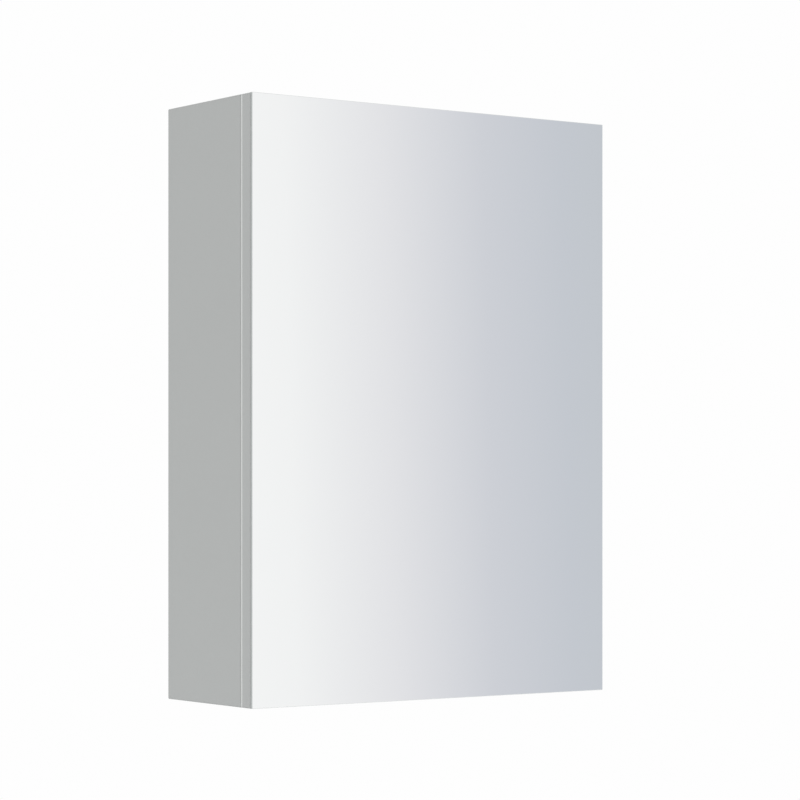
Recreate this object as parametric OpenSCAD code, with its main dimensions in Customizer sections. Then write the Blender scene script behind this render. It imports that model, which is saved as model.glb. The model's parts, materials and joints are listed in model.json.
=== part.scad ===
// Wall-hung medicine cabinet with one full-width mirror door.
// Units are millimetres, +Z is up, the front faces -Y and the wall is the plane y = 0.
// The origin is the centre of the wall rail's screw line, on the wall.

/* [Overall size] */
// Width over the box and the mirror, without the hinge knuckles.
overall_w = 440; // [360:5:540]
// Height of the box and the mirror.
overall_h = 600; // [480:5:740]
// Depth from the wall to the mirror's face.
overall_d = 160; // [130:1:200]
// Height of the cabinet's top above the wall rail's screw line.
rail_drop = 60; // [54:1:75]

/* [Boards] */
// Thickness of the side, top, bottom and door boards.
board_t = 16; // [14:0.5:19.5]
// Thickness of the back panel.
back_t = 6; // [4:0.5:8]
// Room behind the back panel for the wall rail.
hang_gap = 18; // [15:0.5:22]
// Width of the small slope along every board edge.
arris = 0.8; // [0.4:0.1:1.2]

/* [Door] */
// Thickness of the mirror glass.
mirror_t = 3; // [3:0.5:5]
// Gap between the box's front edges and the door.
door_gap = 2; // [1.9:0.1:2.4]

/* [Hinge] */
// Radius of the hinge pin.
pin_r = 1; // [0.9:0.05:1.1]
// Outer radius of the hinge knuckles.
knuckle_r = 2; // [1.8:0.05:2.1]
// Thickness of each hinge leaf.
leaf_t = 0.8; // [0.6:0.05:0.85]
// Number of knuckles along the hinge, an odd number.
knuckle_count = 21; // [13:2:27]

/* [Shelves] */
// Thickness of each glass shelf.
shelf_t = 5; // [4:0.5:8]
// Space between one row of shelf-pin holes and the next.
hole_pitch = 32; // [20:1:38]

/* [Wall rail] */
// Distance between the rail's two screw holes.
rail_hole_spacing = 280; // [200:10:300]

/* [Hidden] */
$fn = 64;

// Clearances that several pieces share
play = 0.1;        // round a screw, dowel or cam, on its radius
snug = 0.05;       // round a pin, on its radius
end_room = 0.5;    // beyond the end of a dowel, bolt or pin in its hole
tip_room = 1;      // between a screw's tip and the end of its hole
past = 1;          // how far a cutting shape runs past the face that it cuts

// Planes of the box and of the door
mid = overall_w / 2;
film_t = 0.3;
door_t = board_t + film_t + mirror_t;
body_d = overall_d - door_t - door_gap;
door_back = -body_d - door_gap;
board_front = door_back - board_t;
inner_x = mid - board_t;
z_top = rail_drop;
z_bottom = z_top - overall_h;
z_mid = (z_top + z_bottom) / 2;
ceiling_z = z_top - board_t;
floor_z = z_bottom + board_t;
back_face = -hang_gap - back_t;
mirror_arris = 0.5;
film_inset = 4;

// Back panel in its grooves
groove_depth = 5;
panel_grip = groove_depth - 0.3;

// Panel joints: a cam lock, its bolt and two dowels at each end of each panel
cam_r = 7.4;
cam_depth = 12.5;
cam_in = 34;
cam_slot = [9, 1.2, 1.5];
cam_mouth_r = 3.5;
bolt_r = 2.9;
bolt_thread_r = 2.4;
bolt_bite = 11;
bolt_channel_r = 3.9;
dowel_r = 4;
dowel_len = 30;
dowel_bite = 11;
joint_ys = [-body_d + 24, back_face - 16];
dowel_ys = [-body_d + 44, back_face - 36];

// Small countersunk and pan-headed wood screws
screw_r = 1.4;
screw_head_r = 2.7;
screw_head_t = 1.5;
screw_len = 12;
screw_driver_play = 0.2;
// Cross recess in a screw's head: length, width and depth of each slot
screw_cross = [3, 0.7, 0.5];

// Continuous hinge on the right-hand edge
hinge_end = 12;
hinge_len = overall_h - 2 * hinge_end;
hinge_low = z_mid - hinge_len / 2;
knuckle_step = hinge_len / knuckle_count;
knuckle_slit = 0.4;
bore_r = pin_r + snug;
axis_x = mid + knuckle_r + 0.2;
axis_y = -body_d - door_gap / 2;
leaf_margin = 1;
leaf_w = board_t - 2 * leaf_margin;
leaf_screws = floor(hinge_len / 64);
leaf_screw_step = hinge_len / leaf_screws;
pin_head_r = knuckle_r - 0.3;
pin_head_t = 1;

// Shelves, their pins and their pads
shelf_space = (ceiling_z - floor_z - 2 * shelf_t) / 3;
shelf_zs = [floor_z + shelf_space, floor_z + 2 * shelf_space + shelf_t];
shelf_gap = 1;
shelf_back = back_face - 2;
shelf_front = -body_d + 10;
shelf_corner = 4;
pin_in = 21;
pin_ys = [shelf_back - pin_in, shelf_front + pin_in];
pin_rows = 2;
stub_r = 2.45;
stub_hole = 9;
collar_r = 3.8;
collar_t = 1;
peg_r = 3;
peg_len = 8;
peg_flat = 2.2;
pad_t = 1;
pad_w = 5;
pad_from = 1.5;
peg_drop = peg_flat + pad_t;

// Magnetic catch on the left-hand side
catch_w = 13;
catch_d = 17;
catch_h = 46;
catch_x = -inner_x + catch_w / 2;
catch_z = z_mid;
plate_t = 1.2;
catch_front = door_back + plate_t + 0.3;
plate_proud = 1.5;
plate_len = 13.5;
magnet_w = 5;
magnet_h = 22;
magnet_back = 0.6;
catch_wall = 3;
catch_screw_in = 10.5;
catch_screw_up = 17;
strike_w = 12;
strike_h = 34;

// Wall rail
rail_t = 1.5;
rail_len = 2 * inner_x - 8;
rail_low = -14;
rail_flat = 9;
rail_step = 6;
rail_fold = 0.6;
rail_top = 24;
rail_hole_r = 3;

// Cabinet hangers in the top corners
hanger_w = 22;
hanger_d = 34;
hanger_h = 56;
hanger_x = inner_x - hanger_w / 2;
hanger_low = ceiling_z - hanger_h;
hanger_front = back_face - hanger_d;
hanger_wall = 3;
hanger_front_wall = 5;
hanger_screw_zs = [hanger_low + 8, ceiling_z - 4.5];
hook_t = 3;
hook_room = 0.3;
hook_tab = 2.5;
hook_drop = 7;
hook_bevel = 3;
hook_low = 8;
hook_high = rail_top + 10;
hook_slot_room = 3;
adjuster_r = 2.5;
adjuster_len = 12;
adjuster_head_r = 3.7;
adjuster_head_t = 1.8;
adjuster_cross = [5, 0.8, 0.8];
// Inward from the hook and up from the hanger's foot, for the height and the depth screw
adjuster_spots = [[5, 14], [0, 40]];
cover_t = 1.2;
cover_room = 2.4;
cover_play = 0.2;
buffer_r = 9;
buffer_in = 30;
buffer_up = 40;

// Dust seal and bumpers between the box and the door
seal_w = 2.6;
seal_t = door_gap - 0.2;
seal_in = 0.7;
bumper_r = 3.5;
bumper_in = 28;
bumper_x = -mid + seal_in + seal_w + bumper_r + 3;
bumper_t = door_gap - 0.1;

shell_grey = [0.69, 0.70, 0.70];
steel = [0.72, 0.73, 0.75];
zinc = [0.80, 0.80, 0.78];
white_plastic = [0.92, 0.92, 0.90];
dark_plastic = [0.20, 0.21, 0.22];
glass = [0.80, 0.90, 0.88, 0.4];
mirror_silver = [0.86, 0.90, 0.91];
beech = [0.80, 0.66, 0.46];

// Rectangle a by b with its corners cut off by c.
module cut_rect(a, b, c) {
    polygon([[c, 0], [a - c, 0], [a, c], [a, b - c], [a - c, b], [c, b], [0, b - c], [0, c]]);
}

// Box from corner lo with every edge sloped off by c.
module board(lo, size, c = arris) {
    translate(lo)
        intersection() {
            linear_extrude(size[2])
                cut_rect(size[0], size[1], c);
            translate([0, size[1], 0])
                rotate([90, 0, 0])
                    linear_extrude(size[1])
                        cut_rect(size[0], size[2], c);
            rotate([90, 0, 90])
                linear_extrude(size[0])
                    cut_rect(size[1], size[2], c);
        }
}

// Rod of radius r along X, from x0 to x1.
module x_rod(r, x0, x1) {
    translate([min(x0, x1), 0, 0])
        rotate([0, 90, 0])
            cylinder(r = r, h = abs(x1 - x0));
}

// Rod of radius r along Y, from y0 to y1.
module y_rod(r, y0, y1) {
    translate([0, max(y0, y1), 0])
        rotate([90, 0, 0])
            cylinder(r = r, h = abs(y1 - y0));
}

// Countersunk head, or with more than 0 play its sink: wide at y = 0, narrow at depth t along way.
module sunk_head(t, way, more = 0) {
    rotate([-way * 90, 0, 0])
        cylinder(r1 = screw_head_r + more, r2 = screw_r + more, h = t);
}

// Cross recess of the given slot size, cut into a head whose face is the plane y = 0.
module driver_cross(size) {
    for (turn = [0, 90])
        rotate([0, turn, 0])
            cube([size[0], 2 * size[2], size[1]], center = true);
}

// Places its child at one end of the top and bottom panels, for side s (-1 left, 1 right).
// $inside is the way from that panel to the inside of the box, up or down.
module at_panel_ends(s, ys) {
    for (low = [false, true], y = ys) {
        $inside = low ? 1 : -1;
        translate([s * inner_x, y, low ? z_bottom + board_t / 2 : z_top - board_t / 2])
            children();
    }
}

// Places its child on one inner side face at every shelf pin.
module at_shelf_pins(s) {
    for (z = shelf_zs, y = pin_ys)
        translate([s * inner_x, y, z - peg_drop])
            children();
}

// Places its child on one inner side face at the hanger's fixing screws.
module at_hanger_screws(s) {
    for (z = hanger_screw_zs)
        translate([s * inner_x, back_face - hanger_d / 2, z])
            children();
}

// Places its child on the hanger's front face, at the height and depth adjusting screws.
module at_adjusters(s) {
    for (spot = adjuster_spots)
        translate([s * (hanger_x - spot[0]), hanger_front, hanger_low + spot[1]])
            children();
}

// Places its child at every leaf screw, on the middle of the leaf.
module at_leaf_screws() {
    for (k = [0 : leaf_screws - 1])
        translate([mid - board_t / 2, 0, hinge_low + (k + 0.5) * leaf_screw_step])
            children();
}

// Places its child on the left inner face at the catch's two screws.
module at_catch_screws() {
    for (z = [-catch_screw_up, catch_screw_up])
        translate([-inner_x, catch_front + catch_screw_in, catch_z + z])
            children();
}

// Places its child on the door's rear face at the strike plate's screw.
module at_strike_screw() {
    translate([catch_x, door_back, catch_z])
        children();
}

// ---- box ----

// Side panel with its grooves and holes; s is -1 for the left side and 1 for the right.
module side_panel(s) {
    difference() {
        board([s < 0 ? -mid : inner_x, -body_d, z_bottom], [board_t, body_d, overall_h]);
        back_groove();
        at_panel_ends(s, joint_ys)
            x_rod(bolt_thread_r + play, -s * past, s * (bolt_bite + end_room));
        at_panel_ends(s, dowel_ys)
            x_rod(dowel_r + play, -s * past, s * (dowel_bite + end_room));
        at_shelf_pins(s)
            for (k = [-pin_rows : pin_rows])
                translate([0, 0, k * hole_pitch])
                    x_rod(stub_r + snug, -s * past, s * stub_hole);
        at_hanger_screws(s)
            x_rod(screw_r + play, -s * past, s * (screw_len - hanger_wall));
        if (s > 0)
            at_leaf_screws()
                translate([0, -body_d, 0])
                    y_rod(screw_r + play, -past, screw_len);
        if (s < 0)
            at_catch_screws()
                x_rod(screw_r + play, past, -screw_len);
    }
}

// Groove round the inside of the box that holds the back panel.
module back_groove() {
    low = floor_z - groove_depth;
    high = ceiling_z + groove_depth;
    half = inner_x + groove_depth;
    translate([-half, back_face - play, low])
        cube([2 * half, back_t + 2 * play, high - low]);
}

// Top or bottom panel with its lower face at z0.
module cross_panel(z0) {
    difference() {
        board([-inner_x, -body_d, z0], [2 * inner_x, body_d, board_t]);
        back_groove();
        for (s = [-1, 1]) {
            at_panel_ends(s, joint_ys) {
                x_rod(bolt_channel_r, s * past, -s * cam_in);
                translate([-s * cam_in, 0, $inside > 0 ? board_t / 2 - cam_depth : -board_t / 2 - past])
                    cylinder(r = cam_r + play, h = cam_depth + past);
            }
            at_panel_ends(s, dowel_ys)
                x_rod(dowel_r + play, s * past, -s * (dowel_len - dowel_bite + end_room));
        }
    }
}

module side_panel_left() {
    color(shell_grey)
        side_panel(-1);
}

module side_panel_right() {
    color(shell_grey)
        side_panel(1);
}

module top_panel() {
    color(shell_grey)
        cross_panel(ceiling_z);
}

module bottom_panel() {
    color(shell_grey)
        cross_panel(z_bottom);
}

// Panel in the grooves, with a slot for each hanger hook.
module back_panel() {
    half = inner_x + panel_grip;
    low = floor_z - panel_grip;
    high = ceiling_z + panel_grip;
    slot_low = hook_low - hook_slot_room;
    slot_high = hook_high + hook_slot_room;
    color(white_plastic)
        difference() {
            translate([-half, back_face, low])
                cube([2 * half, back_t, high - low]);
            for (s = [-1, 1])
                translate([s * hanger_x - hook_t, back_face - past, slot_low])
                    cube([2 * hook_t, back_t + 2 * past, slot_high - slot_low]);
        }
}

// Discs flush with the inside faces, each with a mouth for its bolt and a cross slot.
module cam_locks() {
    color(zinc)
        for (s = [-1, 1])
            at_panel_ends(s, joint_ys)
                translate([-s * cam_in, 0, 0])
                    difference() {
                        translate([0, 0, $inside > 0 ? board_t / 2 - cam_depth : -board_t / 2])
                            cylinder(r = cam_r, h = cam_depth);
                        x_rod(cam_mouth_r, 0, s * (cam_r + past));
                        for (turn = [45, 135])
                            translate([0, 0, $inside * board_t / 2])
                                rotate([0, 0, turn])
                                    cube([cam_slot[0], cam_slot[1], 2 * cam_slot[2]], center = true);
                    }
}

module cam_bolts() {
    color(steel)
        for (s = [-1, 1])
            at_panel_ends(s, joint_ys) {
                x_rod(bolt_thread_r, 0, s * bolt_bite);
                x_rod(bolt_r, 0, -s * (cam_in - tip_room));
            }
}

module dowels() {
    color(beech)
        for (s = [-1, 1])
            at_panel_ends(s, dowel_ys)
                x_rod(dowel_r, s * dowel_bite, -s * (dowel_len - dowel_bite));
}

// Pale strip that fills the door gap along the left, top and bottom edges of the box.
module dust_seal() {
    left = -mid + seal_in;
    right = inner_x - seal_in;
    high = z_top - seal_in - seal_w;
    low = z_bottom + seal_in;
    color(white_plastic)
        translate([0, -body_d - seal_t, 0]) {
            translate([left, 0, low])
                cube([seal_w, seal_t, high + seal_w - low]);
            for (z = [low, high])
                translate([left, 0, z])
                    cube([right - left, seal_t, seal_w]);
        }
}

// Soft domes on the left front edge that the door closes against.
module door_bumpers() {
    color(glass)
        for (z = [z_top - bumper_in, z_bottom + bumper_in])
            translate([bumper_x, -body_d, z])
                y_rod(bumper_r, 0, -bumper_t);
}

// ---- shelves ----

// Glass shelf with rounded upright corners.
module shelf(z) {
    half = inner_x - shelf_gap;
    deep = shelf_back - shelf_front;
    r = shelf_corner;
    color(glass)
        translate([0, shelf_front, z]) {
            translate([-half + r, 0, 0])
                cube([2 * (half - r), deep, shelf_t]);
            translate([-half, r, 0])
                cube([2 * half, deep - 2 * r, shelf_t]);
            for (x = [-half + r, half - r], y = [r, deep - r])
                translate([x, y, 0])
                    cylinder(r = r, h = shelf_t);
        }
}

module shelf_lower() {
    shelf(shelf_zs[0]);
}

module shelf_upper() {
    shelf(shelf_zs[1]);
}

// Round studs with a collar and a flat on top of the peg.
module shelf_pins() {
    flat_len = peg_len + past;
    color(steel)
        for (s = [-1, 1])
            at_shelf_pins(s)
                difference() {
                    union() {
                        x_rod(stub_r, 0, s * (stub_hole - end_room));
                        x_rod(collar_r, 0, -s * collar_t);
                        x_rod(peg_r, 0, -s * peg_len);
                    }
                    translate([-s * flat_len / 2, 0, peg_flat + peg_r])
                        cube([flat_len, 4 * peg_r, 2 * peg_r], center = true);
                }
}

module shelf_pads() {
    color(glass)
        for (s = [-1, 1])
            at_shelf_pins(s)
                translate([-s * (peg_len + pad_from) / 2, 0, peg_flat + pad_t / 2])
                    cube([peg_len - pad_from, pad_w, pad_t], center = true);
}

// ---- hanging hardware ----

// Folded steel rail: a flat foot on the wall, a slope and a lip that stands off the wall.
module wall_rail() {
    t = rail_t;
    slope_z = rail_flat + rail_step;
    color(steel)
        difference() {
            translate([-rail_len / 2, 0, 0])
                rotate([90, 0, 90])
                    linear_extrude(rail_len)
                        polygon([[0, rail_low], [-t, rail_low], [-t, rail_flat - rail_fold],
                                 [-t - rail_step, slope_z - rail_fold], [-t - rail_step, rail_top],
                                 [-rail_step, rail_top], [-rail_step, slope_z], [0, rail_flat]]);
            for (s = [-1, 1])
                translate([s * rail_hole_spacing / 2, 0, 0])
                    y_rod(rail_hole_r, -t - past, past);
        }
}

// Block in the top corner with a slot for the hook plate and two screw bores.
module hanger_housing(s) {
    color(white_plastic)
        difference() {
            translate([s * hanger_x - hanger_w / 2, hanger_front, hanger_low])
                cube([hanger_w, hanger_d, hanger_h]);
            translate([s * hanger_x - hook_t / 2 - hook_room, hanger_front + hanger_front_wall,
                       hook_low - past])
                cube([hook_t + 2 * hook_room, hanger_d, hook_high - hook_low + 2 * past]);
            at_adjusters(s)
                y_rod(adjuster_r + play, -past, adjuster_len);
            at_hanger_screws(s)
                x_rod(screw_r + play, s * past, -s * (hanger_w + past));
            at_hanger_screws(s)
                x_rod(screw_head_r + screw_driver_play, -s * hanger_wall, -s * (hanger_w + past));
        }
}

module hanger_housing_left() {
    hanger_housing(-1);
}

module hanger_housing_right() {
    hanger_housing(1);
}

// Flat steel hook that passes through the back panel and drops behind the rail's lip.
module hanger_hook(s) {
    y_back = -rail_t - 0.7;
    y_front = hanger_front + adjuster_len + tip_room;
    y_tab = y_back - hook_tab;
    y_heel = back_face - 1;
    seat_z = rail_top + hook_room;
    color(steel)
        translate([s * hanger_x - hook_t / 2, 0, 0])
            rotate([90, 0, 90])
                linear_extrude(hook_t)
                    polygon([[y_back, rail_top - hook_drop], [y_back, hook_high - hook_bevel],
                             [y_back - hook_bevel, hook_high], [y_front, hook_high],
                             [y_front, hook_low], [y_heel, hook_low], [y_heel, seat_z],
                             [y_tab, seat_z], [y_tab, rail_top - hook_drop]]);
}

module hanger_hook_left() {
    hanger_hook(-1);
}

module hanger_hook_right() {
    hanger_hook(1);
}

// Height and depth screws with a cross recess in their heads.
module adjusting_screws() {
    color(steel)
        for (s = [-1, 1])
            at_adjusters(s)
                difference() {
                    union() {
                        y_rod(adjuster_r, 0, adjuster_len);
                        y_rod(adjuster_head_r, 0, -adjuster_head_t);
                    }
                    translate([0, -adjuster_head_t, 0])
                        driver_cross(adjuster_cross);
                }
}

module hanger_screws() {
    head_x = hanger_wall + screw_head_t;
    color(steel)
        for (s = [-1, 1])
            at_hanger_screws(s)
                difference() {
                    union() {
                        x_rod(screw_r, -s * hanger_wall, s * (screw_len - hanger_wall - tip_room));
                        x_rod(screw_head_r, -s * hanger_wall, -s * head_x);
                    }
                    translate([-s * head_x, 0, 0])
                        rotate([0, 0, 90])
                            driver_cross(screw_cross);
                }
}

// Snap-on cap over the hanger's front, inner side and lower face.
module hanger_cover(s) {
    front = hanger_front - cover_room;
    low = hanger_low - cover_play;
    room_w = hanger_w + cover_play;
    color(white_plastic)
        difference() {
            translate([s > 0 ? inner_x - room_w - cover_t : -inner_x, front - cover_t, low - cover_t])
                cube([room_w + cover_t, back_face - front + cover_t, ceiling_z - low + cover_t]);
            translate([s > 0 ? inner_x - room_w : -inner_x - past, front, low])
                cube([room_w + past, back_face - front + past, ceiling_z - low + past]);
        }
}

module hanger_cover_left() {
    hanger_cover(-1);
}

module hanger_cover_right() {
    hanger_cover(1);
}

// Feet that keep the bottom of the cabinet off the wall.
module wall_buffers() {
    color(dark_plastic)
        for (s = [-1, 1])
            translate([s * (inner_x - buffer_in), 0, floor_z + buffer_up])
                y_rod(buffer_r, -hang_gap, 0);
}

// ---- door ----

module door_panel() {
    color(shell_grey)
        difference() {
            board([-mid, board_front, z_bottom], [overall_w, board_t, overall_h]);
            at_leaf_screws()
                translate([0, door_back, 0])
                    y_rod(screw_r + play, past, -screw_len);
            at_strike_screw()
                y_rod(screw_r + play, past, -screw_len);
        }
}

// Sheet of adhesive between the board and the mirror.
module adhesive_film() {
    color(white_plastic)
        translate([-mid + film_inset, board_front - film_t, z_bottom + film_inset])
            cube([overall_w - 2 * film_inset, film_t, overall_h - 2 * film_inset]);
}

module mirror_glass() {
    color(mirror_silver)
        board([-mid, -overall_d, z_bottom], [overall_w, mirror_t, overall_h], mirror_arris);
}

// ---- hinge ----

// One leaf with its share of the knuckles: side 1 lies on the box, side -1 on the door.
module hinge_leaf(side) {
    face_y = side > 0 ? -body_d : door_back;
    leaf_y = min(face_y, face_y - side * leaf_t);
    web_x = mid - 2 * leaf_margin;
    difference() {
        union() {
            translate([mid - board_t + leaf_margin, leaf_y, hinge_low])
                cube([leaf_w, leaf_t, hinge_len]);
            for (k = [(side > 0 ? 0 : 1) : 2 : knuckle_count - 1])
                translate([0, 0, hinge_low + k * knuckle_step + knuckle_slit / 2]) {
                    translate([axis_x, axis_y, 0])
                        cylinder(r = knuckle_r, h = knuckle_step - knuckle_slit);
                    translate([web_x, leaf_y, 0])
                        cube([axis_x - web_x, leaf_t, knuckle_step - knuckle_slit]);
                }
        }
        translate([axis_x, axis_y, hinge_low - past])
            cylinder(r = bore_r, h = hinge_len + 2 * past);
        at_leaf_screws()
            translate([0, face_y - side * leaf_t, 0]) {
                y_rod(screw_r + play, 0, side * (leaf_t + past));
                sunk_head(leaf_t, side, play);
            }
    }
}

module hinge_leaf_box() {
    color(steel)
        hinge_leaf(1);
}

module hinge_leaf_door() {
    color(steel)
        hinge_leaf(-1);
}

// Pin with a head at each end, carried by the box leaf's end knuckles.
module hinge_pin() {
    color(steel)
        translate([axis_x, axis_y, hinge_low]) {
            cylinder(r = pin_r, h = hinge_len);
            for (z = [knuckle_slit / 2 - pin_head_t, hinge_len - knuckle_slit / 2])
                translate([0, 0, z])
                    cylinder(r = pin_head_r, h = pin_head_t);
        }
}

// Flat-headed screws, flush with the leaf that lies on the plane y = face_y.
module leaf_screw_group(side, face_y) {
    color(steel)
        at_leaf_screws()
            translate([0, face_y - side * leaf_t, 0])
                difference() {
                    union() {
                        y_rod(screw_r, side * leaf_t / 2, side * (leaf_t + screw_len - tip_room));
                        sunk_head(leaf_t, side);
                    }
                    driver_cross(screw_cross);
                }
}

module hinge_screws_box() {
    leaf_screw_group(1, -body_d);
}

module hinge_screws_door() {
    leaf_screw_group(-1, door_back);
}

// ---- magnetic catch ----

module catch_housing() {
    pocket_w = magnet_w + 2 * plate_t + 2 * play;
    pocket_h = magnet_h + 2 * play;
    color(white_plastic)
        difference() {
            translate([-inner_x, catch_front + plate_proud, catch_z - catch_h / 2])
                cube([catch_w, catch_d - plate_proud, catch_h]);
            translate([catch_x - pocket_w / 2, catch_front, catch_z - pocket_h / 2])
                cube([pocket_w, plate_len + end_room, pocket_h]);
            at_catch_screws() {
                x_rod(screw_r + play, -past, catch_w + past);
                x_rod(screw_head_r + screw_driver_play, catch_wall, catch_w + past);
            }
        }
}

module catch_magnet() {
    color(dark_plastic)
        translate([catch_x - magnet_w / 2, catch_front + magnet_back, catch_z - magnet_h / 2])
            cube([magnet_w, plate_len - magnet_back, magnet_h]);
}

// Steel plates on both sides of the magnet; they stand a little proud of it.
module catch_plates() {
    color(steel)
        for (x = [-magnet_w / 2 - plate_t, magnet_w / 2])
            translate([catch_x + x, catch_front, catch_z - magnet_h / 2])
                cube([plate_t, plate_len, magnet_h]);
}

module catch_screws() {
    head_x = catch_wall + screw_head_t;
    color(steel)
        at_catch_screws()
            difference() {
                union() {
                    x_rod(screw_r, catch_wall, tip_room - screw_len);
                    x_rod(screw_head_r, catch_wall, head_x);
                }
                translate([head_x, 0, 0])
                    rotate([0, 0, 90])
                        driver_cross(screw_cross);
            }
}

module strike_plate() {
    color(steel)
        difference() {
            translate([catch_x - strike_w / 2, door_back, catch_z - strike_h / 2])
                cube([strike_w, plate_t, strike_h]);
            at_strike_screw() {
                y_rod(screw_r + play, -past, plate_t + past);
                translate([0, plate_t, 0])
                    sunk_head(plate_t, -1, play);
            }
        }
}

module strike_screw() {
    color(steel)
        at_strike_screw()
            difference() {
                union() {
                    y_rod(screw_r, plate_t / 2, tip_room - screw_len);
                    translate([0, plate_t, 0])
                        sunk_head(plate_t, -1);
                }
                translate([0, plate_t, 0])
                    driver_cross(screw_cross);
            }
}

side_panel_left();
side_panel_right();
top_panel();
bottom_panel();
back_panel();
cam_locks();
cam_bolts();
dowels();
dust_seal();
door_bumpers();
shelf_lower();
shelf_upper();
shelf_pins();
shelf_pads();
wall_rail();
hanger_housing_left();
hanger_housing_right();
hanger_hook_left();
hanger_hook_right();
adjusting_screws();
hanger_screws();
hanger_cover_left();
hanger_cover_right();
wall_buffers();
door_panel();
adhesive_film();
mirror_glass();
hinge_leaf_box();
hinge_leaf_door();
hinge_pin();
hinge_screws_box();
hinge_screws_door();
catch_housing();
catch_magnet();
catch_plates();
catch_screws();
strike_plate();
strike_screw();
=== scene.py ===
"""Looks of the wall-hung mirror cabinet: finishes for every piece, soft light and the camera."""

import json
import math

import bpy
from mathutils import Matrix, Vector


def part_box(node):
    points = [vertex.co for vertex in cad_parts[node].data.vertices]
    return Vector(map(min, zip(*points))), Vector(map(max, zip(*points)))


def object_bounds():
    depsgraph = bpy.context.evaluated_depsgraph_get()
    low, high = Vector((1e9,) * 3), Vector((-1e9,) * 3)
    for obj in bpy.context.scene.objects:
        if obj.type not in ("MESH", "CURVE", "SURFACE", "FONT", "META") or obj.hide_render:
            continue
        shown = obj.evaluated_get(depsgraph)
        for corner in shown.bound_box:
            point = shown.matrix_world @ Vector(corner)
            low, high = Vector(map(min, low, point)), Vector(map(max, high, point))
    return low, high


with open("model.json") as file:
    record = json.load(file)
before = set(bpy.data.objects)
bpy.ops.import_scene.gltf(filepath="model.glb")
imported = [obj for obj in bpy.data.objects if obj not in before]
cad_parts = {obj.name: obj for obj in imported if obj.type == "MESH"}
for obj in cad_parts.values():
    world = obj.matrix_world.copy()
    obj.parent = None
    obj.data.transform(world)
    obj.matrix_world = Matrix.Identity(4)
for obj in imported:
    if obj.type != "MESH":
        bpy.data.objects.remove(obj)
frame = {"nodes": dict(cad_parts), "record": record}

CAD_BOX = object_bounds()
MM = 0.001

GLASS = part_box("mirror_glass")
FRONT_MIDDLE = Vector(((GLASS[0].x + GLASS[1].x) / 2, GLASS[0].y, GLASS[0].z))

# Camera, measured from the foot of the mirror's middle
CAMERA_AWAY = 2.8827
CAMERA_SIDE = math.radians(36.087)
CAMERA_HEIGHT = 0.2202
CAMERA_HEADING = math.radians(35.374)
CAMERA_LENS = 127.58
SENSOR_WIDTH = 36
CAMERA_RISE = 0.1031

# Room around the cabinet
FLOOR_DROP = 1.2
FLOOR_RADIUS = 3.4
FLOOR_DULL = (0.90, 0.90, 0.90)
FLOOR_PALE = (0.93, 0.93, 0.93)
SUN_POWER = 1.3
SUN_SPREAD = math.radians(50)
SUN_FROM = Vector((-0.45, -0.55, 0.9))
ROOM_WHITE = (0.96, 0.97, 0.965)
BACKDROP_WHITE = (0.99, 0.99, 0.99)
LOWER_GREY = (0.30, 0.30, 0.30)
LOWER_SHARE = 0.55

# Grey stretch of the room, by heading from straight in front of the cabinet towards its right:
# white turns to cool grey from SHADE_START to SHADE_END, and back to white from FADE_START to FADE_END.
# SHADE_LEAN tips the stretch a little with height.
SHADE_START = math.radians(31)
SHADE_END = math.radians(41)
FADE_START = math.radians(70)
FADE_END = math.radians(120)
SHADE_LEAN = 0.024
SHADE_STOPS = (
    (0.00, ROOM_WHITE),
    (0.22, (0.915, 0.925, 0.925)),
    (0.42, (0.793, 0.798, 0.820)),
    (0.62, (0.637, 0.656, 0.700)),
    (0.78, (0.572, 0.602, 0.650)),
    (1.00, (0.540, 0.575, 0.600)),
)

# Finish of the boards with the painted shade on their arrises, and of the dust that settles on them and on
# the fittings
BOARD_GREY = (0.349, 0.356, 0.353)
# Painted shade: the boards' arrises are darkened to this share of their grey
ARRIS_PAINTED_SHADE = 0.55
DARK_CHIP = (0.24, 0.165, 0.095)
PALE_CHIP = (0.44, 0.33, 0.21)
DUST_TONE = (0.62, 0.60, 0.57)
PLASTIC_DUST_TONE = (0.60, 0.58, 0.55)
GLASS_DUST_TONE = (0.86, 0.86, 0.84)

# Rounding of edges
JOINED_WITHIN = 0.001 * MM
SHARP_FROM = math.radians(40)


# ---- small helpers for node trees ----


def put(tree, kind, **settings):
    """A node of that kind in tree, with attributes or input values set by name."""
    node = tree.nodes.new(kind)
    for key, value in settings.items():
        if hasattr(node, key):
            setattr(node, key, value)
        else:
            node.inputs[key.replace("_", " ")].default_value = value
    return node


def work_out(tree, operation, first, second=None):
    """A Math node on sockets or plain numbers; returns its output socket."""
    node = put(tree, "ShaderNodeMath", operation=operation)
    for slot, value in zip(node.inputs, (first, second)):
        if value is None:
            continue
        if isinstance(value, (int, float)):
            slot.default_value = value
        else:
            tree.links.new(value, slot)
    return node.outputs[0]


def remap(tree, value, low, high, to_low, to_high, smooth=False):
    """A clamped Map Range from low..high to to_low..to_high; returns its output socket."""
    node = put(tree, "ShaderNodeMapRange")
    node.interpolation_type = "SMOOTHSTEP" if smooth else "LINEAR"
    tree.links.new(value, node.inputs["Value"])
    for key, number in (("From Min", low), ("From Max", high), ("To Min", to_low), ("To Max", to_high)):
        if isinstance(number, (int, float)):
            node.inputs[key].default_value = number
        else:
            tree.links.new(number, node.inputs[key])
    return node.outputs["Result"]


def blend_colours(tree, factor, first, second):
    """Mixes two colours, each a socket or an RGB triple; returns the colour socket."""
    node = put(tree, "ShaderNodeMix", data_type="RGBA")
    if isinstance(factor, (int, float)):
        node.inputs[0].default_value = factor
    else:
        tree.links.new(factor, node.inputs[0])
    for slot, colour in ((node.inputs[6], first), (node.inputs[7], second)):
        if isinstance(colour, tuple):
            slot.default_value = (*colour, 1)
        else:
            tree.links.new(colour, slot)
    return node.outputs[2]


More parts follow.
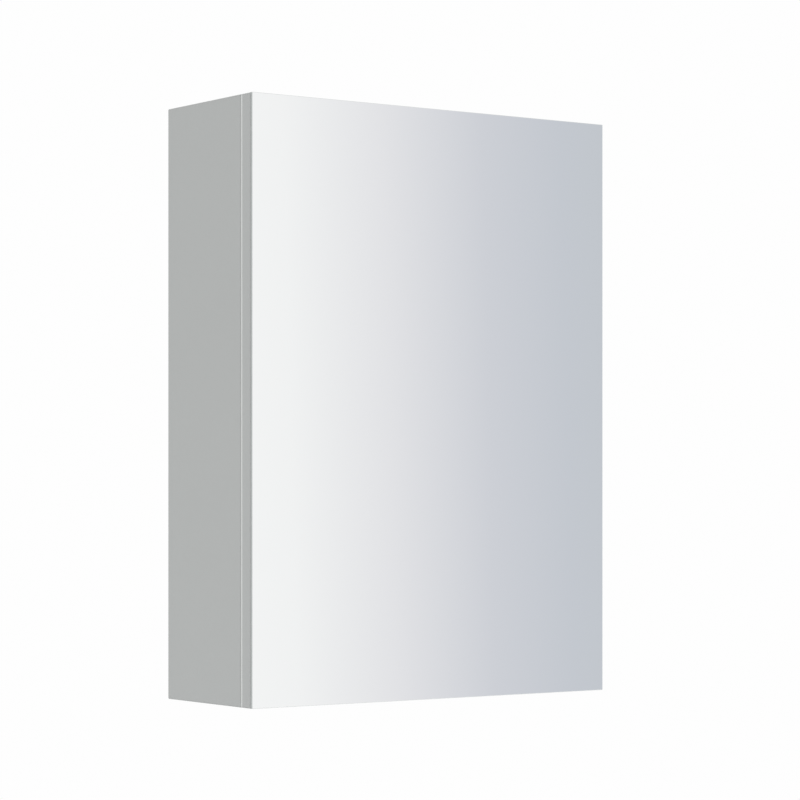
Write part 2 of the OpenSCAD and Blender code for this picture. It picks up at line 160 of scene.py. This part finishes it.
def blend_numbers(tree, factor, first, second):
    """Mixes two number sockets; returns the output socket."""
    node = put(tree, "ShaderNodeMix", data_type="FLOAT")
    for slot, value in ((0, factor), (2, first), (3, second)):
        tree.links.new(value, node.inputs[slot])
    return node.outputs[0]


def new_group(name, inputs, outputs):
    """An empty node group with float inputs (name, value) and named outputs (name, kind)."""
    tree = bpy.data.node_groups.new(name, "ShaderNodeTree")
    for label, value in inputs:
        socket = tree.interface.new_socket(label, in_out="INPUT", socket_type="NodeSocketFloat")
        socket.default_value = value
    for label, kind in outputs:
        tree.interface.new_socket(label, in_out="OUTPUT", socket_type="NodeSocket" + kind)
    start = tree.nodes.new("NodeGroupInput")
    end = tree.nodes.new("NodeGroupOutput")
    return tree, start.outputs, end.inputs


def place_group(tree, group, **values):
    """Places a node group in a material with its own input values."""
    node = tree.nodes.new("ShaderNodeGroup")
    node.node_tree = group
    for key, value in values.items():
        node.inputs[key.replace("_", " ")].default_value = value
    return node.outputs


# ---- effects that several finishes share ----


def make_edge_finder():
    """Mask that is 1 on the rounded-over line along an edge and 0 on flat faces."""
    tree, given, out = new_group("edge_finder", [("Width", 1 * MM)], [("Edge", "Float")])
    bevel = put(tree, "ShaderNodeBevel", samples=6)
    tree.links.new(given["Width"], bevel.inputs["Radius"])
    flat = put(tree, "ShaderNodeNewGeometry")
    dot = put(tree, "ShaderNodeVectorMath", operation="DOT_PRODUCT")
    tree.links.new(bevel.outputs["Normal"], dot.inputs[0])
    tree.links.new(flat.outputs["Normal"], dot.inputs[1])
    tree.links.new(remap(tree, dot.outputs["Value"], 0.995, 0.8, 0, 1), out["Edge"])
    return tree


def make_cloudiness():
    """Soft uneven value between 0 and 1, in patches of the given size."""
    tree, given, out = new_group("cloudiness", [("Patch", 40 * MM), ("Seed", 0)], [("Value", "Float")])
    where = put(tree, "ShaderNodeTexCoord")
    noise = put(tree, "ShaderNodeTexNoise", noise_dimensions="4D", Detail=3.0, Roughness=0.55)
    tree.links.new(where.outputs["Object"], noise.inputs["Vector"])
    tree.links.new(work_out(tree, "DIVIDE", 1, given["Patch"]), noise.inputs["Scale"])
    tree.links.new(given["Seed"], noise.inputs["W"])
    tree.links.new(remap(tree, noise.outputs["Fac"], 0.3, 0.7, 0, 1), out["Value"])
    return tree


def make_pearl_grain():
    """Fine pebbled press-plate texture of laminate and moulded plastic."""
    tree, given, out = new_group("pearl_grain", [("Pebble", 0.8 * MM)], [("Height", "Float")])
    where = put(tree, "ShaderNodeTexCoord")
    scale = work_out(tree, "DIVIDE", 1, given["Pebble"])
    cells = put(tree, "ShaderNodeTexVoronoi", feature="SMOOTH_F1", Smoothness=0.8)
    fine = put(tree, "ShaderNodeTexNoise", Detail=2.0)
    for texture in (cells, fine):
        tree.links.new(where.outputs["Object"], texture.inputs["Vector"])
    tree.links.new(scale, cells.inputs["Scale"])
    tree.links.new(work_out(tree, "MULTIPLY", scale, 2.3), fine.inputs["Scale"])
    pits = work_out(tree, "MULTIPLY", fine.outputs["Fac"], 0.5)
    total = work_out(tree, "ADD", cells.outputs["Distance"], pits)
    tree.links.new(total, out["Height"])
    return tree


def make_brush_lines():
    """Fine lines drawn along Z, as rolling or brushing leaves on sheet steel."""
    tree, given, out = new_group("brush_lines", [("Line", 0.25 * MM)], [("Height", "Float")])
    where = put(tree, "ShaderNodeTexCoord")
    stretch = put(tree, "ShaderNodeVectorMath", operation="MULTIPLY")
    stretch.inputs[1].default_value = (1, 1, 0.03)
    noise = put(tree, "ShaderNodeTexNoise", Detail=4.0)
    tree.links.new(where.outputs["Object"], stretch.inputs[0])
    tree.links.new(stretch.outputs["Vector"], noise.inputs["Vector"])
    tree.links.new(work_out(tree, "DIVIDE", 1, given["Line"]), noise.inputs["Scale"])
    tree.links.new(noise.outputs["Fac"], out["Height"])
    return tree


def make_hand_marks():
    """Mask of faint wiped smears and finger marks on polished faces."""
    tree, given, out = new_group("hand_marks", [("Amount", 0.5)], [("Mask", "Float")])
    where = put(tree, "ShaderNodeTexCoord")
    stretch = put(tree, "ShaderNodeVectorMath", operation="MULTIPLY")
    stretch.inputs[1].default_value = (1, 1, 0.35)
    smear = put(tree, "ShaderNodeTexNoise", Scale=9.0, Detail=5.0, Distortion=1.4)
    spots = put(tree, "ShaderNodeTexVoronoi", Scale=60.0)
    tree.links.new(where.outputs["Object"], stretch.inputs[0])
    tree.links.new(stretch.outputs["Vector"], smear.inputs["Vector"])
    tree.links.new(where.outputs["Object"], spots.inputs["Vector"])
    wiped = remap(tree, smear.outputs["Fac"], 0.48, 0.75, 0, 1, smooth=True)
    dots = remap(tree, spots.outputs["Distance"], 0.16, 0.05, 0, 0.5)
    fingers = work_out(tree, "MULTIPLY", dots, wiped)
    both = work_out(tree, "ADD", wiped, fingers)
    tree.links.new(work_out(tree, "MULTIPLY", both, given["Amount"]), out["Mask"])
    return tree


def make_bored_core():
    """Mask that is 1 inside a board's bores and grooves, deeper than the skin under its six faces."""
    inputs = [(f"{end} {axis}", 0) for end in ("Low", "High") for axis in "XYZ"] + [("Skin", 1 * MM)]
    tree, given, out = new_group("bored_core", inputs, [("Mask", "Float")])
    where = put(tree, "ShaderNodeTexCoord")
    split = put(tree, "ShaderNodeSeparateXYZ")
    tree.links.new(where.outputs["Object"], split.inputs[0])
    mask = 1
    for axis in "XYZ":
        from_low = work_out(tree, "SUBTRACT", split.outputs[axis], given[f"Low {axis}"])
        from_high = work_out(tree, "SUBTRACT", given[f"High {axis}"], split.outputs[axis])
        nearest = work_out(tree, "MINIMUM", from_low, from_high)
        mask = work_out(tree, "MULTIPLY", work_out(tree, "GREATER_THAN", nearest, given["Skin"]), mask)
    tree.links.new(mask, out["Mask"])
    return tree


def make_chip_flakes():
    """Pressed wood flakes: an uneven tone from chip to chip and a rough height."""
    outputs = [("Tone", "Float"), ("Height", "Float")]
    tree, given, out = new_group("chip_flakes", [("Flake", 1.6 * MM)], outputs)
    where = put(tree, "ShaderNodeTexCoord")
    scale = work_out(tree, "DIVIDE", 1, given["Flake"])
    flakes = put(tree, "ShaderNodeTexVoronoi", Randomness=1.0)
    fibre = put(tree, "ShaderNodeTexNoise", Detail=4.0)
    for texture in (flakes, fibre):
        tree.links.new(where.outputs["Object"], texture.inputs["Vector"])
    tree.links.new(scale, flakes.inputs["Scale"])
    tree.links.new(work_out(tree, "MULTIPLY", scale, 3), fibre.inputs["Scale"])
    tone = put(tree, "ShaderNodeSeparateColor")
    tree.links.new(flakes.outputs["Color"], tone.inputs[0])
    tree.links.new(tone.outputs[0], out["Tone"])
    splinters = work_out(tree, "MULTIPLY", fibre.outputs["Fac"], 0.6)
    height = work_out(tree, "ADD", flakes.outputs["Distance"], splinters)
    tree.links.new(height, out["Height"])
    return tree


def make_resting_dust():
    """Mask of light dust on faces that look up."""
    tree, given, out = new_group("resting_dust", [("Amount", 0.3)], [("Mask", "Float")])
    where = put(tree, "ShaderNodeTexCoord")
    split = put(tree, "ShaderNodeSeparateXYZ")
    noise = put(tree, "ShaderNodeTexNoise", Scale=160.0, Detail=6.0)
    tree.links.new(where.outputs["Normal"], split.inputs[0])
    tree.links.new(where.outputs["Object"], noise.inputs["Vector"])
    upward = remap(tree, split.outputs["Z"], 0.7, 1.0, 0, 1)
    patchy = remap(tree, noise.outputs["Fac"], 0.3, 0.8, 0.45, 1)
    mask = work_out(tree, "MULTIPLY", work_out(tree, "MULTIPLY", upward, patchy), given["Amount"])
    tree.links.new(mask, out["Mask"])
    return tree


EDGE_FINDER = make_edge_finder()
CLOUDINESS = make_cloudiness()
PEARL_GRAIN = make_pearl_grain()
BRUSH_LINES = make_brush_lines()
HAND_MARKS = make_hand_marks()
RESTING_DUST = make_resting_dust()
BORED_CORE = make_bored_core()
CHIP_FLAKES = make_chip_flakes()


# ---- finishes ----


def start_material(name, **settings):
    """A material with a Principled shader whose plain inputs are set by name."""
    material = bpy.data.materials.new(name)
    material.use_nodes = True
    tree = material.node_tree
    shader = tree.nodes["Principled BSDF"]
    for key, value in settings.items():
        shader.inputs[key.replace("_", " ")].default_value = value
    return material, tree, shader.inputs


def add_bump(tree, into, height, depth, strength=1.0):
    """Raises the surface by a height socket, depth in metres."""
    bump = put(tree, "ShaderNodeBump", Strength=strength, Distance=depth)
    tree.links.new(height, bump.inputs["Height"])
    tree.links.new(bump.outputs["Normal"], into["Normal"])


def lighter(colour, gain):
    """The colour brightened by a gain, or darkened by a gain below 1."""
    return tuple(min(1.0, part * gain) for part in colour)


def faced_board(node, colour=BOARD_GREY):
    """Board faced with satin melamine, with painted shade along its arrises and bare chipboard in its
    bores and grooves.
    """
    material, tree, into = start_material(f"grey_melamine_{node}", IOR=1.5)
    patches = place_group(tree, CLOUDINESS, Patch=90 * MM)["Value"]
    fine = place_group(tree, CLOUDINESS, Patch=3 * MM, Seed=4)["Value"]
    edge = place_group(tree, EDGE_FINDER, Width=1.4 * MM)["Edge"]
    grain = place_group(tree, PEARL_GRAIN, Pebble=0.9 * MM)["Height"]
    dust = place_group(tree, RESTING_DUST, Amount=0.25)["Mask"]
    corners = {f"{end}_{axis}": value for end, corner in zip(("Low", "High"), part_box(node))
               for axis, value in zip("XYZ", corner)}
    core = place_group(tree, BORED_CORE, Skin=1.1 * MM, **corners)["Mask"]
    flakes = place_group(tree, CHIP_FLAKES, Flake=1.6 * MM)
    flat = blend_colours(tree, patches, lighter(colour, 0.985), lighter(colour, 1.015))
    specked = blend_colours(tree, work_out(tree, "MULTIPLY", fine, 0.25), flat, lighter(colour, 0.95))
    # Painted shade along the arrises, darkening the board grey there
    with_painted_arris_shade = blend_colours(tree, edge, specked, lighter(colour, ARRIS_PAINTED_SHADE))
    dusty = blend_colours(tree, dust, with_painted_arris_shade, DUST_TONE)
    chips = blend_colours(tree, flakes["Tone"], DARK_CHIP, PALE_CHIP)
    tree.links.new(blend_colours(tree, core, dusty, chips), into["Base Color"])
    satin = remap(tree, patches, 0, 1, 0.40, 0.48)
    dulled = work_out(tree, "ADD", satin, work_out(tree, "MULTIPLY", dust, 0.5))
    rough = work_out(tree, "MAXIMUM", dulled, work_out(tree, "MULTIPLY", core, 0.85))
    tree.links.new(rough, into["Roughness"])
    skin_height = work_out(tree, "MULTIPLY", grain, 0.1)
    add_bump(tree, into, blend_numbers(tree, core, skin_height, flakes["Height"]), 0.3 * MM, 0.35)
    return material


def white_laminate(name, colour):
    """Thin panel with a smooth white coat, faint cloudiness and slightly greyed edges."""
    material, tree, into = start_material(name, IOR=1.5)
    patches = place_group(tree, CLOUDINESS, Patch=70 * MM)["Value"]
    edge = place_group(tree, EDGE_FINDER, Width=0.8 * MM)["Edge"]
    grain = place_group(tree, PEARL_GRAIN, Pebble=1.3 * MM)["Height"]
    tone = blend_colours(tree, patches, lighter(colour, 0.975), lighter(colour, 1.01))
    tree.links.new(blend_colours(tree, edge, tone, lighter(colour, 0.86)), into["Base Color"])
    tree.links.new(remap(tree, patches, 0, 1, 0.30, 0.40), into["Roughness"])
    add_bump(tree, into, grain, 0.03 * MM, 0.35)
    return material


def mirror_sheet(name):
    """Silvered glass: a clear mirror with polished arrises, ground edges and a painted back."""
    material, tree, into = start_material(name, IOR=1.52)
    where = put(tree, "ShaderNodeTexCoord")
    split = put(tree, "ShaderNodeSeparateXYZ")
    tree.links.new(where.outputs["Normal"], split.inputs[0])
    front = remap(tree, split.outputs["Y"], -0.55, -0.85, 0, 1)
    back = remap(tree, split.outputs["Y"], 0.9, 0.97, 0, 1)
    smears = place_group(tree, HAND_MARKS, Amount=0.35)["Mask"]
    patches = place_group(tree, CLOUDINESS, Patch=6 * MM)["Value"]
    ground = blend_colours(tree, patches, (0.325, 0.340, 0.336), (0.350, 0.366, 0.362))
    sides = blend_colours(tree, back, ground, (0.30, 0.32, 0.34))
    tree.links.new(blend_colours(tree, front, sides, (0.956, 0.956, 0.957)), into["Base Color"])
    tree.links.new(front, into["Metallic"])
    polished = remap(tree, smears, 0, 1, 0.012, 0.05)
    ground_rough = remap(tree, patches, 0, 1, 0.28, 0.42)
    tree.links.new(blend_numbers(tree, front, ground_rough, polished), into["Roughness"])
    return material


def plated_steel(name, colour, roughness, line=0.2 * MM, contrast=0.03):
    """Nickel-plated or rolled steel with fine lines, edges lightened partly by wear and partly as a
    painted highlight, and a few touch marks.
    """
    material, tree, into = start_material(name, Metallic=1.0)
    lines = place_group(tree, BRUSH_LINES, Line=line)["Height"]
    edge = place_group(tree, EDGE_FINDER, Width=0.4 * MM)["Edge"]
    smears = place_group(tree, HAND_MARKS, Amount=0.3)["Mask"]
    darker, brighter = lighter(colour, 1 - contrast), lighter(colour, 1 + contrast)
    tone = blend_colours(tree, remap(tree, lines, 0.3, 0.7, 0, 1), darker, brighter)
    # Edges lightened: partly wear, partly a painted highlight
    tree.links.new(blend_colours(tree, edge, tone, lighter(colour, 1.3)), into["Base Color"])
    base = remap(tree, lines, 0.3, 0.7, roughness - 0.02, roughness + 0.02)
    rough = work_out(tree, "ADD", base, work_out(tree, "MULTIPLY", smears, 0.10))
    tree.links.new(rough, into["Roughness"])
    add_bump(tree, into, lines, 0.002 * MM, 0.2)
    return material


def cast_metal(name, colour, roughness):
    """Die-cast or sintered metal with a slightly sandy skin and edges lightened partly by wear and partly
    as a painted highlight.
    """
    material, tree, into = start_material(name, Metallic=1.0)
    grain = place_group(tree, PEARL_GRAIN, Pebble=0.5 * MM)["Height"]
    patches = place_group(tree, CLOUDINESS, Patch=5 * MM)["Value"]
    edge = place_group(tree, EDGE_FINDER, Width=0.5 * MM)["Edge"]
    tone = blend_colours(tree, patches, lighter(colour, 0.85), lighter(colour, 1.08))
    # Edges lightened: partly wear, partly a painted highlight
    tree.links.new(blend_colours(tree, edge, tone, lighter(colour, 1.35)), into["Base Color"])
    tree.links.new(remap(tree, patches, 0, 1, roughness, roughness + 0.15), into["Roughness"])
    add_bump(tree, into, grain, 0.04 * MM, 0.5)
    return material


def moulded_plastic(name, colour, roughness=0.38, grain_size=0.45 * MM):
    """Moulded plastic with spark-eroded grain and edges lightened partly by wear and partly as a painted
    highlight.
    """
    material, tree, into = start_material(name, IOR=1.46)
    grain = place_group(tree, PEARL_GRAIN, Pebble=grain_size)["Height"]
    patches = place_group(tree, CLOUDINESS, Patch=14 * MM)["Value"]
    edge = place_group(tree, EDGE_FINDER, Width=0.6 * MM)["Edge"]
    dust = place_group(tree, RESTING_DUST, Amount=0.3)["Mask"]
    tone = blend_colours(tree, patches, lighter(colour, 0.97), lighter(colour, 1.02))
    # Edges lightened: partly wear, partly a painted highlight
    rubbed_and_highlit = blend_colours(tree, work_out(tree, "MULTIPLY", edge, 0.6), tone, lighter(colour, 1.15))
    tree.links.new(blend_colours(tree, dust, rubbed_and_highlit, PLASTIC_DUST_TONE), into["Base Color"])
    plain = remap(tree, patches, 0, 1, roughness - 0.05, roughness + 0.06)
    worn = work_out(tree, "MULTIPLY", edge, 0.1)
    tree.links.new(work_out(tree, "SUBTRACT", plain, worn), into["Roughness"])
    add_bump(tree, into, grain, 0.02 * MM, 0.4)
    return material


def clear_glass(name, tint, edge_tint, roughness=0.02):
    """Tempered glass: clear through its faces, deep green where an edge is looked into."""
    material, tree, into = start_material(name, IOR=1.52, Transmission_Weight=1.0)
    edge = place_group(tree, EDGE_FINDER, Width=1.0 * MM)["Edge"]
    smears = place_group(tree, HAND_MARKS, Amount=0.5)["Mask"]
    dust = place_group(tree, RESTING_DUST, Amount=0.10)["Mask"]
    where = put(tree, "ShaderNodeTexCoord")
    split = put(tree, "ShaderNodeSeparateXYZ")
    tree.links.new(where.outputs["Normal"], split.inputs[0])
    flat = remap(tree, work_out(tree, "ABSOLUTE", split.outputs["Z"]), 0.6, 0.9, 0, 1)
    faces = blend_colours(tree, flat, edge_tint, tint)
    dusty = blend_colours(tree, dust, faces, GLASS_DUST_TONE)
    tree.links.new(dusty, into["Base Color"])
    smeared = remap(tree, smears, 0, 1, roughness, roughness + 0.10)
    marks = work_out(tree, "ADD", smeared, work_out(tree, "MULTIPLY", edge, 0.15))
    tree.links.new(marks, into["Roughness"])
    return material


def soft_clear(name, colour):
    """Clear soft plastic of bumpers and pads, a little hazy."""
    material, tree, into = start_material(name, IOR=1.45, Transmission_Weight=0.45)
    patches = place_group(tree, CLOUDINESS, Patch=2 * MM)["Value"]
    tree.links.new(blend_colours(tree, patches, lighter(colour, 0.93), colour), into["Base Color"])
    tree.links.new(remap(tree, patches, 0, 1, 0.18, 0.32), into["Roughness"])
    return material


def foam_strip(name, colour):
    """Closed-cell strip with a matt, finely pitted skin."""
    material, tree, into = start_material(name, IOR=1.4)
    pits = place_group(tree, PEARL_GRAIN, Pebble=0.35 * MM)["Height"]
    patches = place_group(tree, CLOUDINESS, Patch=10 * MM)["Value"]
    tree.links.new(blend_colours(tree, patches, lighter(colour, 0.96), colour), into["Base Color"])
    tree.links.new(remap(tree, patches, 0, 1, 0.6, 0.8), into["Roughness"])
    add_bump(tree, into, pits, 0.04 * MM, 0.5)
    return material


def turned_beech(name):
    """Beech dowel with fine flecks along the grain."""
    material, tree, into = start_material(name, IOR=1.45)
    where = put(tree, "ShaderNodeTexCoord")
    stretch = put(tree, "ShaderNodeVectorMath", operation="MULTIPLY")
    stretch.inputs[1].default_value = (0.08, 1, 1)
    noise = put(tree, "ShaderNodeTexNoise", Scale=900.0, Detail=5.0)
    tree.links.new(where.outputs["Object"], stretch.inputs[0])
    tree.links.new(stretch.outputs["Vector"], noise.inputs["Vector"])
    fleck = remap(tree, noise.outputs["Fac"], 0.35, 0.65, 0, 1)
    tree.links.new(blend_colours(tree, fleck, (0.50, 0.30, 0.14), (0.62, 0.42, 0.23)), into["Base Color"])
    tree.links.new(remap(tree, fleck, 0, 1, 0.5, 0.65), into["Roughness"])
    add_bump(tree, into, noise.outputs["Fac"], 0.05 * MM, 0.5)
    return material


FINISHES = {
    "white_panel": white_laminate("white_back_panel", (0.80, 0.80, 0.78)),
    "white_plastic": moulded_plastic("white_moulding", (0.76, 0.76, 0.73)),
    "dark_plastic": moulded_plastic("black_rubber", (0.025, 0.025, 0.027), 0.62, 0.6 * MM),
    "zinc": cast_metal("zinc_casting", (0.62, 0.61, 0.58), 0.34),
    "steel": plated_steel("nickel_plated_steel", (0.47, 0.46, 0.44), 0.24),
    "hinge_steel": plated_steel("rolled_hinge_steel", (0.50, 0.50, 0.50), 0.27, 0.3 * MM, 0.05),
    "beech": turned_beech("turned_beech"),
    "seal": foam_strip("pale_seal", (0.72, 0.73, 0.72)),
    "clear_soft": soft_clear("clear_soft_plastic", (0.80, 0.82, 0.81)),
    "shelf_glass": clear_glass("tempered_shelf_glass", (0.93, 0.97, 0.95), (0.45, 0.72, 0.60)),
    "mirror": mirror_sheet("silvered_glass"),
    "film": foam_strip("adhesive_film", (0.55, 0.55, 0.54)),
    "ferrite": cast_metal("ferrite_magnet", (0.055, 0.055, 0.06), 0.45),
}
SCREW_FINISH = plated_steel("blued_screw_steel", (0.27, 0.27, 0.28), 0.20)


def finish_of(node, slot):
    """The material of one CAD node: its slot's finish, but its own board, or the screws' plating."""
    if slot == "grey_board":
        return faced_board(node)
    if "screw" in node:
        return SCREW_FINISH
    return FINISHES[slot]


def dress_nodes():
    """Gives every CAD node its finish."""
    for part in frame["record"]["subparts"]:
        mesh = frame["nodes"][part["node"]].data
        mesh.materials.clear()
        mesh.materials.append(finish_of(part["node"], part["material_slot"]))


# Greatest width of the rounded edges in millimetres. Short facets hold it back: on round pieces and on
# the shelves the edges come out much narrower. A piece with holes in a large flat face stays sharp.
ROUNDED = {
    "dust_seal": 0.4, "door_bumpers": 0.5, "wall_buffers": 0.8, "dowels": 0.8,
    "hanger_cover_left": 0.6, "hanger_cover_right": 0.6,
    "hanger_hook_left": 0.3, "hanger_hook_right": 0.3,
    "shelf_lower": 0.7, "shelf_upper": 0.7, "shelf_pads": 0.2, "shelf_pins": 0.15,
    "catch_plates": 0.15, "catch_magnet": 0.3, "catch_screws": 0.25, "strike_screw": 0.2,
    "hinge_screws_box": 0.2, "hinge_screws_door": 0.2, "hanger_screws": 0.25, "adjusting_screws": 0.25,
}


def round_edges():
    """Rounds the sharp edges of the listed pieces a little, within the box that each one fills."""
    for node, width in ROUNDED.items():
        modifiers = frame["nodes"][node].modifiers
        weld = modifiers.new("joined_faces", "WELD")
        weld.merge_threshold = JOINED_WITHIN
        soften = modifiers.new("rounded_edges", "BEVEL")
        soften.width = width * MM
        soften.segments = 2
        soften.limit_method = "ANGLE"
        soften.angle_limit = SHARP_FROM
        soften.face_strength_mode = "FSTR_ALL"
        shade = modifiers.new("even_normals", "WEIGHTED_NORMAL")
        shade.use_face_influence = True


# ---- room, light and camera ----


def build_floor():
    """Round pale floor well below the cabinet, which hangs on a wall."""
    bpy.ops.mesh.primitive_circle_add(vertices=96, radius=FLOOR_RADIUS, fill_type="NGON")
    floor = bpy.context.object
    floor.name = "floor"
    floor.location = (0, 0, CAD_BOX[0].z - FLOOR_DROP)
    material, tree, into = start_material("pale_floor", Roughness=0.8)
    patches = place_group(tree, CLOUDINESS, Patch=0.6)["Value"]
    tree.links.new(blend_colours(tree, patches, FLOOR_DULL, FLOOR_PALE), into["Base Color"])
    floor.data.materials.append(material)


def shade_by_heading(tree, heading):
    """Colour of the room's walls from their heading: white, then cool grey, then white again."""
    along = remap(tree, heading, SHADE_START, SHADE_END, 0, 1)
    shade = put(tree, "ShaderNodeValToRGB")
    ramp = shade.color_ramp
    while len(ramp.elements) < len(SHADE_STOPS):
        ramp.elements.new(0.5)
    for element, (place, colour) in zip(ramp.elements, SHADE_STOPS):
        element.position = place
        element.color = (*colour, 1)
    tree.links.new(along, shade.inputs["Fac"])
    far_side = remap(tree, heading, FADE_START, FADE_END, 0, 1, smooth=True)
    return blend_colours(tree, far_side, shade.outputs["Color"], ROOM_WHITE)


def build_room():
    """White room with a cool grey stretch on the right, greyer below; the camera sees it plain white."""
    world = bpy.data.worlds.new("studio")
    bpy.context.scene.world = world
    world.use_nodes = True
    tree = world.node_tree
    where = put(tree, "ShaderNodeTexCoord")
    split = put(tree, "ShaderNodeSeparateXYZ")
    tree.links.new(where.outputs["Generated"], split.inputs[0])
    away = work_out(tree, "MULTIPLY", split.outputs["Y"], -1)
    lean = work_out(tree, "MULTIPLY", split.outputs["Z"], SHADE_LEAN)
    compass = work_out(tree, "ARCTAN2", split.outputs["X"], away)
    walls = shade_by_heading(tree, work_out(tree, "ADD", compass, lean))
    below = remap(tree, split.outputs["Z"], -0.1, -0.9, 0, LOWER_SHARE, smooth=True)
    room = blend_colours(tree, below, walls, LOWER_GREY)
    seen = put(tree, "ShaderNodeLightPath")
    lit = blend_colours(tree, seen.outputs["Is Camera Ray"], room, BACKDROP_WHITE)
    tree.links.new(lit, tree.nodes["Background"].inputs["Color"])


def build_sun():
    """Wide soft sun from above the front left."""
    sun = bpy.data.objects.new("soft_sun", bpy.data.lights.new("soft_sun", "SUN"))
    bpy.context.scene.collection.objects.link(sun)
    sun.data.energy = SUN_POWER
    sun.data.angle = SUN_SPREAD
    sun.rotation_euler = SUN_FROM.to_track_quat("Z", "Y").to_euler()


def build_camera():
    """Level camera in front and to the left, framed by its lens shift."""
    camera = bpy.data.objects.new("camera", bpy.data.cameras.new("camera"))
    bpy.context.scene.collection.objects.link(camera)
    out = Vector((-math.sin(CAMERA_SIDE), -math.cos(CAMERA_SIDE), 0)) * CAMERA_AWAY
    camera.location = FRONT_MIDDLE + out + Vector((0, 0, CAMERA_HEIGHT))
    camera.rotation_euler = (math.radians(90), 0, -CAMERA_HEADING)
    camera.data.sensor_width = SENSOR_WIDTH
    camera.data.lens = CAMERA_LENS
    camera.data.shift_y = CAMERA_RISE
    bpy.context.scene.camera = camera


dress_nodes()
round_edges()
build_floor()
build_room()
build_sun()
build_camera()
bpy.context.scene.view_settings.view_transform = "Standard"
